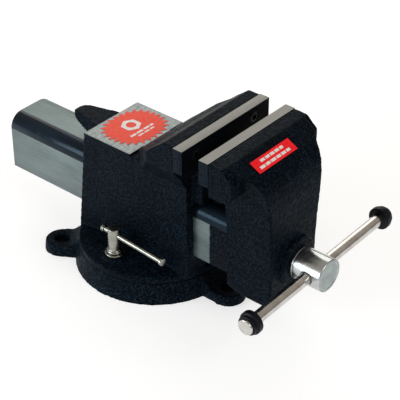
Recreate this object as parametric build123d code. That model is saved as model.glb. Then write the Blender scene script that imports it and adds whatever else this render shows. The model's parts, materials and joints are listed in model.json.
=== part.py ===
from build123d import *
import math
import os

# Swivel-base bench vise, all steel, 150 mm jaws. Millimetres.
# Origin: on the bench, under the swivel axis. +X runs from the anvil to the
# handle, along the slide; +Z is up. The jaws stand open by JAW_OPENING.

os.makedirs("parts", exist_ok=True)

# ---- driving dimensions ----
JAW_HALF_WIDTH = 75.0
JAW_TOP = 227.3
JAW_OPENING = 23.0
PLATE_THICK = 12.7
PLATE_BOTTOM = 197.7
FIXED_SEAT_X = 93.6
MOVING_SEAT_X = FIXED_SEAT_X + 2 * PLATE_THICK + JAW_OPENING

BODY_HALF_WIDTH = 46.2
BODY_REAR_X = -68.4
BODY_REAR_FOOT_X = -82.9
BODY_FRONT_X = 88.0
ANVIL_TOP = 168.4
ANVIL_FRONT_X = 3.6

BASE_TOP = 26.7
TURNTABLE_TOP = 36.0
TURNTABLE_R = 93.4
BASE_FOOT_R = 99.2

SLIDE_HALF_WIDTH = 34.0
SLIDE_BOTTOM = 60.0
SLIDE_TOP = 132.5
SLIDE_CORNER_R = 18.0
SLIDE_WALL = 8.0
SLIDE_REAR_X = -207.0
SLIDE_FRONT_X = 180.0
SLIDE_GAP = 0.3

SCREW_Z = 92.0
SCREW_R = 13.5
SHANK_R = 14.0
RUNNING_GAP = 0.05
HEAD_R = 19.7
HEAD_FRONT_X = 251.5
BAR_X = 234.0
BAR_R = 7.0
BAR_HALF_LENGTH = 129.8
BAR_OFFSET = 4.8
BAR_TILT = 1.25

LOCK_RADIUS = 69.3
LOCK_ANGLE = 92.4
LOCK_SEAT_Z = 41.0
LUG_ANGLES = (-3.0, 142.0, -148.0)
LUG_RADIUS = 117.0


# ---- shape helpers ----
def box(x, y, z):
    """Box between two corners, each argument a (low, high) pair."""
    centre = ((x[0] + x[1]) / 2, (y[0] + y[1]) / 2, (z[0] + z[1]) / 2)
    return Pos(*centre) * Box(x[1] - x[0], y[1] - y[0], z[1] - z[0])


def side_profile(points, half_width):
    """Outline in X and Z, pushed out to both sides of the centre plane."""
    face = make_face(Plane.XZ * Polyline(*points, close=True))
    return extrude(face, half_width, both=True)


def cross_section(points, x_from, x_to):
    """Outline in Y and Z, given for the +Y side and mirrored, pushed along X."""
    mirrored = [(-y, z) for y, z in reversed(points)]
    face = make_face(Plane.YZ.offset(x_from) * Polyline(*points, *mirrored, close=True))
    return extrude(face, x_to - x_from)


def plan_view(points, z_from, z_to):
    """Outline in X and Y, given for the +Y side and mirrored, pushed along Z."""
    mirrored = [(x, -y) for x, y in reversed(points)]
    face = make_face(Plane.XY.offset(z_from) * Polyline(*points, *mirrored, close=True))
    return extrude(face, z_to - z_from)


def rod_x(x_from, x_to, radius, y=0.0, z=SCREW_Z):
    length = x_to - x_from
    return Pos((x_from + x_to) / 2, y, z) * Rot(0, 90, 0) * Cylinder(radius, length)


def rod_z(x, y, z_from, z_to, radius):
    return Pos(x, y, (z_from + z_to) / 2) * Cylinder(radius, z_to - z_from)


def turned_z(points):
    """Solid of revolution about Z from (radius, height) points."""
    return revolve(make_face(Plane.XZ * Polyline(*points, close=True)), Axis.Z)


def polar(radius, degrees):
    return radius * math.cos(math.radians(degrees)), radius * math.sin(math.radians(degrees))


def mirror_y(shape):
    return mirror(shape, Plane.XZ)


def save(name, *shapes):
    solids = [solid for shape in shapes for solid in shape.solids()]
    export_step(solids[0] if len(solids) == 1 else Compound(children=solids), f"parts/{name}.step")


# ---- swivel base ----
T_SLOT_HALF = 6.5
T_CHANNEL_HALF = 13.0
T_FLOOR = 5.0
T_LIP = 15.0
PIVOT_R = 8.0
PIVOT_HEAD_R = 15.0
PIVOT_RECESS_TOP = 13.0
LUG_R = 20.0
LUG_DRAFT = 1.6
LUG_TOP = 13.5
LUG_HOLE_R = 9.0
LUG_RELIEF_R = 14.0
LUG_RELIEF_TOP = 5.0
LUG_WEB_START = 70.0
LUG_RAMP_START = 80.0
LUG_RAMP_TOP_END = 92.0
LUG_RAMP_SHOULDER = 97.0
LUG_RAMP_END = 108.0
PIVOT_RECESS_R = 17.0
ACCESS_ANGLE = 30.0


def lug(degrees):
    """Bench lug with a web that ramps up into the base wall."""
    x, y = polar(LUG_RADIUS, degrees)
    pad = Pos(x, y, LUG_TOP / 2) * Cone(LUG_R + LUG_DRAFT, LUG_R, LUG_TOP)
    web = box((LUG_WEB_START, LUG_RADIUS), (-LUG_R - LUG_DRAFT, LUG_R + LUG_DRAFT), (0, LUG_TOP))
    ramp = side_profile([(LUG_RAMP_START, 0), (LUG_RAMP_END, 0), (LUG_RAMP_END, LUG_TOP),
                         (LUG_RAMP_SHOULDER, BASE_TOP - 5), (LUG_RAMP_TOP_END, BASE_TOP),
                         (LUG_RAMP_START, BASE_TOP)], LUG_R)
    return pad + Rot(0, 0, degrees) * (web + ramp)


def annular_slot(half_width, z_from, z_to):
    """Ring-shaped space on the lock bolts' circle."""
    inner_r = LOCK_RADIUS - half_width
    outer_r = LOCK_RADIUS + half_width
    return turned_z([(inner_r, z_from), (outer_r, z_from), (outer_r, z_to), (inner_r, z_to)])


def make_swivel_base():
    ring = turned_z([(0, 0), (BASE_FOOT_R, 0), (TURNTABLE_R - 0.6, BASE_TOP), (0, BASE_TOP)])
    for degrees in LUG_ANGLES:
        ring += lug(degrees)
    ring -= annular_slot(T_SLOT_HALF, T_LIP, BASE_TOP + 1)
    ring -= annular_slot(T_CHANNEL_HALF, T_FLOOR, T_LIP)
    ring -= rod_z(*polar(LOCK_RADIUS, ACCESS_ANGLE), -1, T_FLOOR + 1, T_CHANNEL_HALF)
    ring -= rod_z(0, 0, -1, PIVOT_RECESS_TOP, PIVOT_RECESS_R)
    ring -= rod_z(0, 0, 0, BASE_TOP + 1, PIVOT_R + RUNNING_GAP)
    for degrees in LUG_ANGLES:
        x, y = polar(LUG_RADIUS, degrees)
        ring -= rod_z(x, y, -1, LUG_TOP + 20, LUG_HOLE_R)
        ring -= rod_z(x, y, -1, LUG_RELIEF_TOP, LUG_RELIEF_R)
    return ring


# ---- fixed body: turntable, pillar, anvil, horn and back jaw in one casting ----
HORN_TIP_X = -124.0
HOOD_FRONT_X = 102.0
NUT_X = (10.0, 58.0)
NUT_SCREW_XS = (22.0, 46.0)
NUT_SCREW_R = 5.0
NUT_SCREW_HEAD_R = 8.0
PLATE_SCREW_Y = 50.0
PLATE_SCREW_Z = 212.5
PLATE_SCREW_R = 4.0
PLATE_SCREW_HEAD_R = 6.5
PLATE_SCREW_HEAD = 8.0
PLATE_SCREW_DEPTH = 16.0
FLOOR_TOP = SLIDE_BOTTOM - SLIDE_GAP
DOME_R = 50.0
DOME_TOP = 44.0
PILLAR_FOOT_Z = 34.0
PILLAR_TOP = 166.0
RIM_CHAMFER = 1.5
HOOD_HALF_WIDTH = 36.0
SEAT_PAD_R = 15.0
SEAT_CUT_R = 14.5
STUD_HOLE_R = 6.5


def slide_outline(margin, x_from, x_to):
    """Inverted-U bar shape: flat bottom, two rounded top corners."""
    half = SLIDE_HALF_WIDTH + margin
    bar = box((x_from, x_to), (-half, half), (SLIDE_BOTTOM - margin, SLIDE_TOP + margin))
    top_edges = bar.edges().filter_by(Axis.X).group_by(Axis.Z)[-1]
    return fillet(top_edges, SLIDE_CORNER_R + margin)


def plate_screw_holes(seat_x, direction):
    """Tapped holes behind a jaw plate, two of them, running away from the jaws."""
    ends = sorted((seat_x, seat_x + direction * PLATE_SCREW_DEPTH))
    hole = rod_x(ends[0] - 1, ends[1] + 1, PLATE_SCREW_R, PLATE_SCREW_Y, PLATE_SCREW_Z)
    return hole + mirror_y(hole)


def make_horn():
    """Tapering tongue behind the anvil."""
    plan = [(BODY_REAR_X + 6, 21), (-80, 19.5), (-112, 12), (-120, 8.5), (HORN_TIP_X, 5)]
    profile = [(-60, 138), (-60, 165), (-80, 164.6), (-117, 163.2), (HORN_TIP_X, 160.5), (HORN_TIP_X, 153)]
    return plan_view(plan, 130, 170) & side_profile(profile, 30)


def make_back_jaw():
    profile = [(FIXED_SEAT_X, JAW_TOP), (78, JAW_TOP), (65, 217), (53, 207), (41, 200.5), (17, 180.5),
               (ANVIL_FRONT_X, ANVIL_TOP - 0.6), (ANVIL_FRONT_X, 150), (BODY_FRONT_X, 150),
               (BODY_FRONT_X, 170), (FIXED_SEAT_X, 176)]
    jaw = side_profile(profile, JAW_HALF_WIDTH)
    jaw &= cross_section([(BODY_HALF_WIDTH, 150), (BODY_HALF_WIDTH, 158), (JAW_HALF_WIDTH, 195),
                          (JAW_HALF_WIDTH, JAW_TOP)], 0, 100)
    plan = [(ANVIL_FRONT_X, 20), (16, 44), (30, 52), (47, 70), (54, JAW_HALF_WIDTH),
            (FIXED_SEAT_X, JAW_HALF_WIDTH)]
    return jaw & plan_view(plan, 140, 230)


def make_fixed_body():
    pillar = side_profile([(BODY_REAR_X, PILLAR_TOP), (BODY_REAR_FOOT_X, PILLAR_FOOT_Z),
                           (BODY_FRONT_X, PILLAR_FOOT_Z), (BODY_FRONT_X, PILLAR_TOP)], BODY_HALF_WIDTH)
    heel = side_profile([(-70, PILLAR_FOOT_Z), (-92, PILLAR_FOOT_Z), (-92, 36.5), (-87, 42), (-82.5, 51),
                         (-79, 64), (-70, 64)], BODY_HALF_WIDTH)
    pillar += heel & rod_z(0, 0, BASE_TOP, 70, TURNTABLE_R - RIM_CHAMFER)
    turntable = turned_z([(0, BASE_TOP), (TURNTABLE_R, BASE_TOP), (TURNTABLE_R, TURNTABLE_TOP - RIM_CHAMFER),
                          (TURNTABLE_R - RIM_CHAMFER, TURNTABLE_TOP), (DOME_R, DOME_TOP), (0, DOME_TOP)])
    anvil = box((BODY_REAR_X, ANVIL_FRONT_X), (-BODY_HALF_WIDTH, BODY_HALF_WIDTH), (160, ANVIL_TOP))
    hood = side_profile([(80, 134), (HOOD_FRONT_X, 137), (HOOD_FRONT_X, 172), (94, 182), (80, 182)],
                        HOOD_HALF_WIDTH)
    casting = pillar + turntable + anvil + make_horn() + make_back_jaw() + hood
    casting -= slide_outline(SLIDE_GAP, -120, 120)
    casting -= rod_z(0, 0, BASE_TOP - 1, 54, PIVOT_R)
    for x in NUT_SCREW_XS:
        casting -= rod_z(x, 0, BASE_TOP - 1, FLOOR_TOP + 1, NUT_SCREW_R + 0.5)
        casting -= rod_z(x, 0, BASE_TOP - 1, 38, NUT_SCREW_HEAD_R + 0.5)
    for side in (1, -1):
        x, y = polar(LOCK_RADIUS, side * LOCK_ANGLE)
        casting += rod_z(x, y, BASE_TOP, LOCK_SEAT_Z, SEAT_PAD_R) - pillar
        casting -= rod_z(x, y, LOCK_SEAT_Z, FLOOR_TOP, SEAT_CUT_R) - pillar
        casting -= rod_z(x, y, BASE_TOP - 1, LOCK_SEAT_Z + 1, STUD_HOLE_R)
    return casting - plate_screw_holes(FIXED_SEAT_X, -1)


# ---- jaw plates and their screws ----
def make_jaw_plate(x_from):
    plate = box((x_from, x_from + PLATE_THICK), (-JAW_HALF_WIDTH, JAW_HALF_WIDTH), (PLATE_BOTTOM, JAW_TOP))
    return fillet(plate.edges().filter_by(Axis.X).group_by(Axis.Z)[-1], 2.5)


def drill_plate(plate, seat_x, direction):
    """Counterbored holes, opening on the gripping face of the plate."""
    face_x = seat_x - direction * PLATE_THICK
    head_x = face_x + direction * (PLATE_SCREW_HEAD + 1)
    for y in (PLATE_SCREW_Y, -PLATE_SCREW_Y):
        shank = sorted((face_x - direction, seat_x + direction))
        mouth = sorted((face_x - direction, head_x))
        plate -= rod_x(*shank, PLATE_SCREW_R + 0.5, y, PLATE_SCREW_Z)
        plate -= rod_x(*mouth, PLATE_SCREW_HEAD_R + 0.5, y, PLATE_SCREW_Z)
    return plate


def make_plate_screws(seat_x, direction):
    """Socket-head cap screws, heads sunk below the gripping face."""
    head_low = seat_x - direction * (PLATE_THICK - 1)
    head_high = head_low + direction * PLATE_SCREW_HEAD
    tip = seat_x + direction * PLATE_SCREW_DEPTH
    screws = []
    for y in (PLATE_SCREW_Y, -PLATE_SCREW_Y):
        head = rod_x(*sorted((head_low, head_high)), PLATE_SCREW_HEAD_R, y, PLATE_SCREW_Z)
        shank = rod_x(*sorted((head_high, tip)), PLATE_SCREW_R, y, PLATE_SCREW_Z)
        hexagon = Plane.YZ * RegularPolygon(3.5, 6)
        socket = Pos(min(head_low, head_low + direction * 4), y, PLATE_SCREW_Z) * extrude(hexagon, 4)
        screws.append(head + shank - socket)
    return screws


# ---- slide and front jaw ----
JAW_FACE_HALF = 40.6
JAW_DRAFT = [(JAW_FACE_HALF, 40), (JAW_FACE_HALF, 98), (42.6, 133), (45.2, 160), (46.2, 176), (47.5, 187)]
JAW_CHEEK = [(50.2, 198), (53.4, 207), (57, 212.5), (62, 216), (67.5, 218), (67.5, JAW_TOP)]
JAW_BODY_BACK_X = 141.0
JAW_FACE_X = 203.5
BOSS_R = 30.0
BOSS_FRONT_X = 211.0
JAW_FOOT_Z = 44.0


def make_slide():
    bar = slide_outline(0, SLIDE_REAR_X, SLIDE_FRONT_X)
    inner = SLIDE_HALF_WIDTH - SLIDE_WALL
    hollow = box((SLIDE_REAR_X - 1, SLIDE_FRONT_X + 1), (-inner, inner),
                 (SLIDE_BOTTOM - 1, SLIDE_TOP - SLIDE_WALL))
    hollow = fillet(hollow.edges().filter_by(Axis.X).group_by(Axis.Z)[-1], SLIDE_CORNER_R - SLIDE_WALL)
    return bar - hollow


def make_moving_jaw():
    core = [(MOVING_SEAT_X, JAW_TOP), (160, 226.5), (186, 213.5), (194, 206), (199.5, 197), (202.5, 185),
            (JAW_FACE_X, 174), (JAW_FACE_X, 56), (198, 46), (190, JAW_FOOT_Z), (158, JAW_FOOT_Z),
            (JAW_BODY_BACK_X, 50), (JAW_BODY_BACK_X, 186), (MOVING_SEAT_X, 186)]
    body = side_profile(core, JAW_HALF_WIDTH)
    body &= cross_section(JAW_DRAFT + JAW_CHEEK, JAW_BODY_BACK_X, JAW_FACE_X)
    end = [(MOVING_SEAT_X, JAW_TOP), (160, 226.5), (174.6, 213.5), (174.6, 197), (167, 186.5),
           (MOVING_SEAT_X, 186)]
    head = side_profile(end, JAW_HALF_WIDTH)
    boss = rod_x(JAW_FACE_X - 1, BOSS_FRONT_X, BOSS_R)
    boss = fillet(boss.edges().group_by(Axis.X)[-1], 3)
    casting = body + head + boss
    casting -= slide_outline(0, JAW_BODY_BACK_X - 20, SLIDE_FRONT_X)
    casting -= rod_x(SLIDE_FRONT_X - 10, BOSS_FRONT_X + 1, SHANK_R + RUNNING_GAP)
    return casting - plate_screw_holes(MOVING_SEAT_X, 1)


# ---- spindle, its thrust parts and the tommy bar ----
SCREW_REAR_X = -150.0
SHANK_START_X = 150.0
WASHER_THICK = 3.5
SPRING_WIRE_R = 2.0
SPRING_FRONT_X = 176.0
SPRING_REAR_X = 161.0
SPLIT_PIN_X = 154.0


def along_bar(shape):
    """Turn a shape made along +Z so that it lies along the tommy bar's hole."""
    return Pos(BAR_X, 0, SCREW_Z) * Rot(-90 + BAR_TILT, 0, 0) * shape


def make_spindle():
    screw = rod_x(SCREW_REAR_X, SHANK_START_X, SCREW_R)
    shank = rod_x(SHANK_START_X, BOSS_FRONT_X + WASHER_THICK, SHANK_R)
    head = rod_x(BOSS_FRONT_X + WASHER_THICK, HEAD_FRONT_X, HEAD_R)
    head = chamfer(head.edges().group_by(Axis.X)[-1], 1.5)
    spindle = screw + shank + head
    spindle -= along_bar(Cylinder(BAR_R + RUNNING_GAP, 60))
    return spindle - rod_z(SPLIT_PIN_X, 0, 60, 120, 2.5)


def make_ring(x_from, x_to, outer_r, inner_r):
    return rod_x(x_from, x_to, outer_r) - rod_x(x_from - 1, x_to + 1, inner_r)


def make_spring():
    length = SPRING_FRONT_X - SPRING_REAR_X - 2 * SPRING_WIRE_R
    coil_r = SHANK_R + SPRING_WIRE_R + 1.0
    path = Helix(pitch=length / 2, height=length, radius=coil_r)
    start = path @ 0
    wire = sweep(Plane(origin=start, z_dir=path % 0) * Circle(SPRING_WIRE_R), path, is_frenet=True)
    return Pos(SPRING_REAR_X + SPRING_WIRE_R, 0, SCREW_Z) * Rot(0, 90, 0) * wire


BAR_RING_R = 13.6
BAR_RING_LENGTH = 12.0
BAR_CAP_R = 9.2
BAR_CAP_LENGTH = 3.2


def make_tommy_bar():
    """Plain rod with a wider domed cap on each end, which holds the rubber ring."""
    cap = Cylinder(BAR_CAP_R, BAR_CAP_LENGTH)
    cap = Pos(0, 0, BAR_HALF_LENGTH - BAR_CAP_LENGTH / 2) * fillet(cap.edges().group_by(Axis.Z)[-1], 1.2)
    bar = Cylinder(BAR_R, 2 * BAR_HALF_LENGTH - BAR_CAP_LENGTH) + cap + mirror(cap, Plane.XY)
    return along_bar(Pos(0, 0, BAR_OFFSET) * bar)


def make_bar_rings():
    """Rubber bumper with a wide inner step and a narrower outer one."""
    inner_z = BAR_HALF_LENGTH - BAR_CAP_LENGTH - BAR_RING_LENGTH
    outline = [(BAR_R, inner_z), (BAR_RING_R, inner_z), (BAR_RING_R, inner_z + 7.5),
               (BAR_RING_R - 2, inner_z + BAR_RING_LENGTH), (BAR_R, inner_z + BAR_RING_LENGTH)]
    ring = turned_z(outline)
    slid = Pos(0, 0, BAR_OFFSET)
    return [along_bar(slid * ring), along_bar(slid * mirror(ring, Plane.XY))]


# ---- lead nut and swivel fasteners ----
def make_lead_nut():
    nut = box(NUT_X, (-22, 22), (FLOOR_TOP, 114))
    nut -= rod_x(NUT_X[0] - 1, NUT_X[1] + 1, SCREW_R + RUNNING_GAP)
    for x in NUT_SCREW_XS:
        nut -= rod_z(x, 0, FLOOR_TOP - 1, 72, NUT_SCREW_R)
    return nut


def hex_socket_down(x, y, z_bottom, across_corners_r, depth):
    return Pos(x, y, z_bottom) * extrude(RegularPolygon(across_corners_r, 6), depth)


def make_nut_screws():
    screws = []
    for x in NUT_SCREW_XS:
        screw = rod_z(x, 0, 28, 38, NUT_SCREW_HEAD_R) + rod_z(x, 0, 38, 71, NUT_SCREW_R)
        screws.append(screw - hex_socket_down(x, 0, 28, 4.5, 5))
    return screws


def make_pivot_bolt():
    head = Pos(0, 0, 0.8) * extrude(RegularPolygon(13.8, 6), 9)
    return head + rod_z(0, 0, 9.8, 53, PIVOT_R)


def make_pivot_washer():
    return rod_z(0, 0, 9.8, PIVOT_RECESS_TOP - 0.2, PIVOT_HEAD_R) - rod_z(0, 0, 9, 14, PIVOT_R + 0.3)


STUD_R = 6.0
NUT_R = 7.8
NUT_TOP = 77.0
BAR_HOLE_Z = 68.0
LOCK_BAR_R = 3.2
LOCK_BAR_ANGLE = -3.7
LOCK_BAR_REACH = (-19.0, 79.5)
LOCK_BAR_HEAD_R = 4.6
LOCK_BAR_HEAD = 4.0
LOCK_WASHER_TOP = LOCK_SEAT_Z + 3.0
LOCK_WASHER_R = 12.0


def lock_centre(side):
    return polar(LOCK_RADIUS, side * LOCK_ANGLE)


def make_t_bolt(side):
    """T-headed bolt: the head rides in the base's T-slot, the stud takes the lock nut."""
    x, y = lock_centre(side)
    half = T_SLOT_HALF - 0.5
    head = box((-half - 5, half + 5), (-half - 5, half + 5), (T_FLOOR + 1, T_LIP - 0.3))
    neck = box((-half + 1, half - 1), (-half, half), (T_FLOOR + 1, BASE_TOP - 0.3))
    turned = Pos(x, y, 0) * Rot(0, 0, side * LOCK_ANGLE) * (head + neck)
    return turned + rod_z(x, y, 20, BAR_HOLE_Z - 6, STUD_R)


def make_lock_washer(side):
    x, y = lock_centre(side)
    washer = rod_z(x, y, LOCK_SEAT_Z, LOCK_WASHER_TOP, LOCK_WASHER_R)
    return washer - rod_z(x, y, LOCK_SEAT_Z - 1, LOCK_WASHER_TOP + 1, 6.6)


def place_lock_bar(shape, side):
    """Carry a shape made along +Z to the lock bar's line through its nut."""
    x, y = lock_centre(side)
    return Pos(x, y, BAR_HOLE_Z) * Rot(0, 0, -side * LOCK_BAR_ANGLE) * Rot(0, 90, 0) * shape


def make_lock_nut(side):
    x, y = lock_centre(side)
    nut = rod_z(x, y, LOCK_WASHER_TOP + 0.3, NUT_TOP, NUT_R)
    nut = chamfer(nut.edges().group_by(Axis.Z)[-1], 1.0)
    collar = rod_z(x, y, LOCK_WASHER_TOP + 0.3, LOCK_WASHER_TOP + 4, NUT_R + 2)
    nut = nut + collar - rod_z(x, y, 30, BAR_HOLE_Z - 5.5, STUD_R + RUNNING_GAP)
    return nut - place_lock_bar(Cylinder(LOCK_BAR_R + RUNNING_GAP, 60), side)


def make_lock_bar(side):
    low, high = LOCK_BAR_REACH
    bar = Pos(0, 0, (low + high) / 2) * Cylinder(LOCK_BAR_R, high - low)
    for end in (low + LOCK_BAR_HEAD / 2, high - LOCK_BAR_HEAD / 2):
        bar += Pos(0, 0, end) * Cylinder(LOCK_BAR_HEAD_R, LOCK_BAR_HEAD)
    return place_lock_bar(bar, side)


# ---- stickers ----
LABEL_THICK = 0.4
BADGE_HALF_LENGTH = 34.8
BADGE_HALF_WIDTH = 40.5
BADGE_SQUARENESS = 2.5
BADGE_VALLEY = 0.81
BADGE_POINTS = 26
BADGE_CENTRE = (-31.8, 1.8)
JAW_LABEL_SIZE = (16.0, 65.0)
JAW_LABEL_CENTRE = (176.0, -6.5, 218.5)


def make_anvil_badge():
    """Star-edged oval sticker on the anvil."""
    points = []
    for step in range(2 * BADGE_POINTS):
        x, y = polar(1.0, 180.0 * step / BADGE_POINTS)
        swell = (abs(x) ** BADGE_SQUARENESS + abs(y) ** BADGE_SQUARENESS) ** (-1 / BADGE_SQUARENESS)
        reach = swell if step % 2 == 0 else swell * BADGE_VALLEY
        points.append((x * reach * BADGE_HALF_LENGTH, y * reach * BADGE_HALF_WIDTH))
    face = make_face(Polyline(*points, close=True))
    return Pos(*BADGE_CENTRE, ANVIL_TOP) * extrude(face, LABEL_THICK)


def make_jaw_label():
    """Rectangular sticker on the front jaw's sloping top."""
    slope = math.degrees(math.atan2(226.5 - 213.5, 186 - 160))
    label = Pos(0, 0, LABEL_THICK / 2) * Box(*JAW_LABEL_SIZE, LABEL_THICK)
    return Pos(*JAW_LABEL_CENTRE) * Rot(0, slope, 0) * label


# ---- write every sub-part ----
save("swivel_base", make_swivel_base())
save("fixed_body", make_fixed_body())
save("fixed_jaw_plate", drill_plate(make_jaw_plate(FIXED_SEAT_X), FIXED_SEAT_X, -1))
save("fixed_plate_screws", *make_plate_screws(FIXED_SEAT_X, -1))
save("slide_channel", make_slide())
save("moving_jaw", make_moving_jaw())
save("moving_jaw_plate", drill_plate(make_jaw_plate(MOVING_SEAT_X - PLATE_THICK), MOVING_SEAT_X, 1))
save("moving_plate_screws", *make_plate_screws(MOVING_SEAT_X, 1))
save("spindle_screw", make_spindle())
save("thrust_washer", make_ring(BOSS_FRONT_X, BOSS_FRONT_X + WASHER_THICK, 19.0, SHANK_R + RUNNING_GAP))
save("spring_washers", make_ring(SPRING_FRONT_X, SLIDE_FRONT_X - 0.5, 19.0, SHANK_R + RUNNING_GAP),
     make_ring(157.0, SPRING_REAR_X, 19.0, SHANK_R + RUNNING_GAP))
save("takeup_spring", make_spring())
save("split_pin", rod_z(SPLIT_PIN_X, 0, SCREW_Z - 19, SCREW_Z + 19, 2.4))
save("tommy_bar", make_tommy_bar())
save("bar_rings", *make_bar_rings())
save("lead_nut", make_lead_nut())
save("lead_nut_screws", *make_nut_screws())
save("pivot_bolt", make_pivot_bolt())
save("pivot_washer", make_pivot_washer())
save("lock_t_bolts", make_t_bolt(-1), make_t_bolt(1))
save("lock_washers", make_lock_washer(-1), make_lock_washer(1))
for prefix, side in (("near", -1), ("far", 1)):
    save(f"{prefix}_lock_nut", make_lock_nut(side))
    save(f"{prefix}_lock_bar", make_lock_bar(side))
save("anvil_badge", make_anvil_badge())
save("jaw_label", make_jaw_label())
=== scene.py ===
import bpy
import bmesh
import json
import math
import numpy as np
from mathutils import Matrix, Vector


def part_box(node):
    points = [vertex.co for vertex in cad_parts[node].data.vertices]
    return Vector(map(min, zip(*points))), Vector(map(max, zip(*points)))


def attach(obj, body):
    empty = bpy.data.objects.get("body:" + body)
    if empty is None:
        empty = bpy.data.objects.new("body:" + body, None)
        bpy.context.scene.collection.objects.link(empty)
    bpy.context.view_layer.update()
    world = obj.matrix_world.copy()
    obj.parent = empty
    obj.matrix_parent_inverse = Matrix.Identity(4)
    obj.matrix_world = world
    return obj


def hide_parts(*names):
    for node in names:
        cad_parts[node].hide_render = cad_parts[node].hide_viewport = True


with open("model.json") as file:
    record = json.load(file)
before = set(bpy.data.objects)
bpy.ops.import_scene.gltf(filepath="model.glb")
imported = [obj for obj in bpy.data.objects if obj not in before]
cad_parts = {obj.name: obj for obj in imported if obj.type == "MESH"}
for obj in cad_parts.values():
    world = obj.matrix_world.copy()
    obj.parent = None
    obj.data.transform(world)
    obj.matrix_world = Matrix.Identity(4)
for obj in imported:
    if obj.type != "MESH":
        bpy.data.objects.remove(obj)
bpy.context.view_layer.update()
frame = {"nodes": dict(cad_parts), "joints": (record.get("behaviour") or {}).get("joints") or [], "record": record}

# Bench vise. Metres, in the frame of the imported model.
MM = 0.001
WELD = 0.005 * MM
JOINTS = {joint["name"]: joint for joint in frame["joints"]}

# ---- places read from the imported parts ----
SLIDE_LOW, SLIDE_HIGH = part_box("slide_channel")
BADGE_LOW, BADGE_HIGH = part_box("anvil_badge")
ANVIL_TOP = BADGE_LOW.z
LABEL_LOW, LABEL_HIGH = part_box("jaw_label")
SPINDLE_LOW, SPINDLE_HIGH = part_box("spindle_screw")
HEAD_R = (SPINDLE_HIGH.y - SPINDLE_LOW.y) / 2
SCREW_Z = (SPINDLE_LOW.z + SPINDLE_HIGH.z) / 2

# ---- the tommy bar: its rod and the caps on its ends ----
BAR_R = 7 * MM
CAP_LENGTH = 3.2 * MM
CAP_ROUND = 1.2 * MM
BAR_LOW, BAR_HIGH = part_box("tommy_bar")
BAR_X = (BAR_LOW.x + BAR_HIGH.x) / 2
BAR_MIDDLE = (BAR_LOW + BAR_HIGH) / 2
CAP_R = (BAR_HIGH.x - BAR_LOW.x) / 2
BAR_AXIS = Vector(JOINTS["tommy_bar_slide"]["axis"]).normalized()
BAR_HALF = ((BAR_HIGH.y - BAR_LOW.y) / 2 - (CAP_R - CAP_ROUND) * BAR_AXIS.z) / BAR_AXIS.y


# ---- materials ----
COLOUR_A = 6
COLOUR_B = 7
COLOUR_OUT = 2


class Shade:
    """One node material: a Principled shader and short calls to build what feeds it."""

    def __init__(self, name, metallic, roughness, specular=0.5):
        self.material = bpy.data.materials.new(name)
        self.material.use_nodes = True
        self.tree = self.material.node_tree
        self.shader = next(n for n in self.tree.nodes if n.type == "BSDF_PRINCIPLED")
        self.set("Metallic", metallic)
        self.set("Roughness", roughness)
        self.set("Specular IOR Level", specular)
        self.place = self.node("ShaderNodeTexCoord").outputs["Object"]

    def node(self, kind):
        return self.tree.nodes.new(kind)

    def set(self, socket, value):
        self.shader.inputs[socket].default_value = value

    def feed(self, socket, output):
        self.tree.links.new(output, self.shader.inputs[socket])

    def put(self, value, socket):
        """Link an output to a socket, or set a plain value on it."""
        if isinstance(value, bpy.types.NodeSocket):
            self.tree.links.new(value, socket)
        else:
            socket.default_value = value

    def stretched(self, x, y, z):
        """The object's own coordinates, scaled along each axis."""
        mapping = self.node("ShaderNodeMapping")
        mapping.inputs["Scale"].default_value = (x, y, z)
        self.put(self.place, mapping.inputs["Vector"])
        return mapping.outputs["Vector"]

    def noise(self, size, detail=3.0, rough=0.6, where=None):
        """Cloudy value between 0 and 1 whose blotches are about size metres across."""
        made = self.node("ShaderNodeTexNoise")
        made.inputs["Scale"].default_value = 1.0 / size
        made.inputs["Detail"].default_value = detail
        made.inputs["Roughness"].default_value = rough
        self.put(where or self.place, made.inputs["Vector"])
        return made.outputs["Fac"]

    def math(self, operation, a, b=0.0):
        made = self.node("ShaderNodeMath")
        made.operation = operation
        self.put(a, made.inputs[0])
        self.put(b, made.inputs[1])
        return made.outputs[0]

    def spread(self, value, low, high, to_low=0.0, to_high=1.0):
        """Map low..high onto to_low..to_high, clamped, with soft ends."""
        made = self.node("ShaderNodeMapRange")
        made.interpolation_type = "SMOOTHSTEP"
        self.put(value, made.inputs["Value"])
        ends = {"From Min": low, "From Max": high, "To Min": to_low, "To Max": to_high}
        for socket, number in ends.items():
            made.inputs[socket].default_value = number
        return made.outputs[0]

    def mix(self, share, a, b):
        """Blend from colour a to colour b as the share goes from 0 to 1."""
        made = self.node("ShaderNodeMix")
        made.data_type = "RGBA"
        self.put(share, made.inputs["Factor"])
        self.put(a, made.inputs[COLOUR_A])
        self.put(b, made.inputs[COLOUR_B])
        return made.outputs[COLOUR_OUT]

    def part(self, axis):
        """One coordinate of the shaded point: 0 is X, 1 is Y, 2 is Z."""
        made = self.node("ShaderNodeSeparateXYZ")
        self.put(self.place, made.inputs[0])
        return made.outputs[axis]

    def attribute(self, name):
        made = self.node("ShaderNodeAttribute")
        made.attribute_name = name
        return made.outputs["Fac"]

    def bump(self, height, depth, strength=1.0, under=None):
        made = self.node("ShaderNodeBump")
        made.inputs["Strength"].default_value = strength
        made.inputs["Distance"].default_value = depth
        self.put(height, made.inputs["Height"])
        if under is not None:
            self.put(under, made.inputs["Normal"])
        return made.outputs["Normal"]


def colour(r, g, b):
    """Opaque colour from its linear red, green and blue."""
    return (r, g, b, 1.0)


PAINT_DARK = colour(0.0006, 0.0010, 0.0018)
PAINT_LIGHT = colour(0.0115, 0.0240, 0.0400)
BASE_FLECK = colour(0.0160, 0.0320, 0.0510)
# Paler colour for chipped edges: partly paint wear, partly a painted highlight along the rounded edges.
EDGE_WEAR_AND_HIGHLIGHT = colour(0.06, 0.09, 0.11)
PAINT_GLOSS = 0.035
PAINT_ROUGH = 0.46
PAINT_SHEEN = colour(0.5, 0.78, 1.0)


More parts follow.
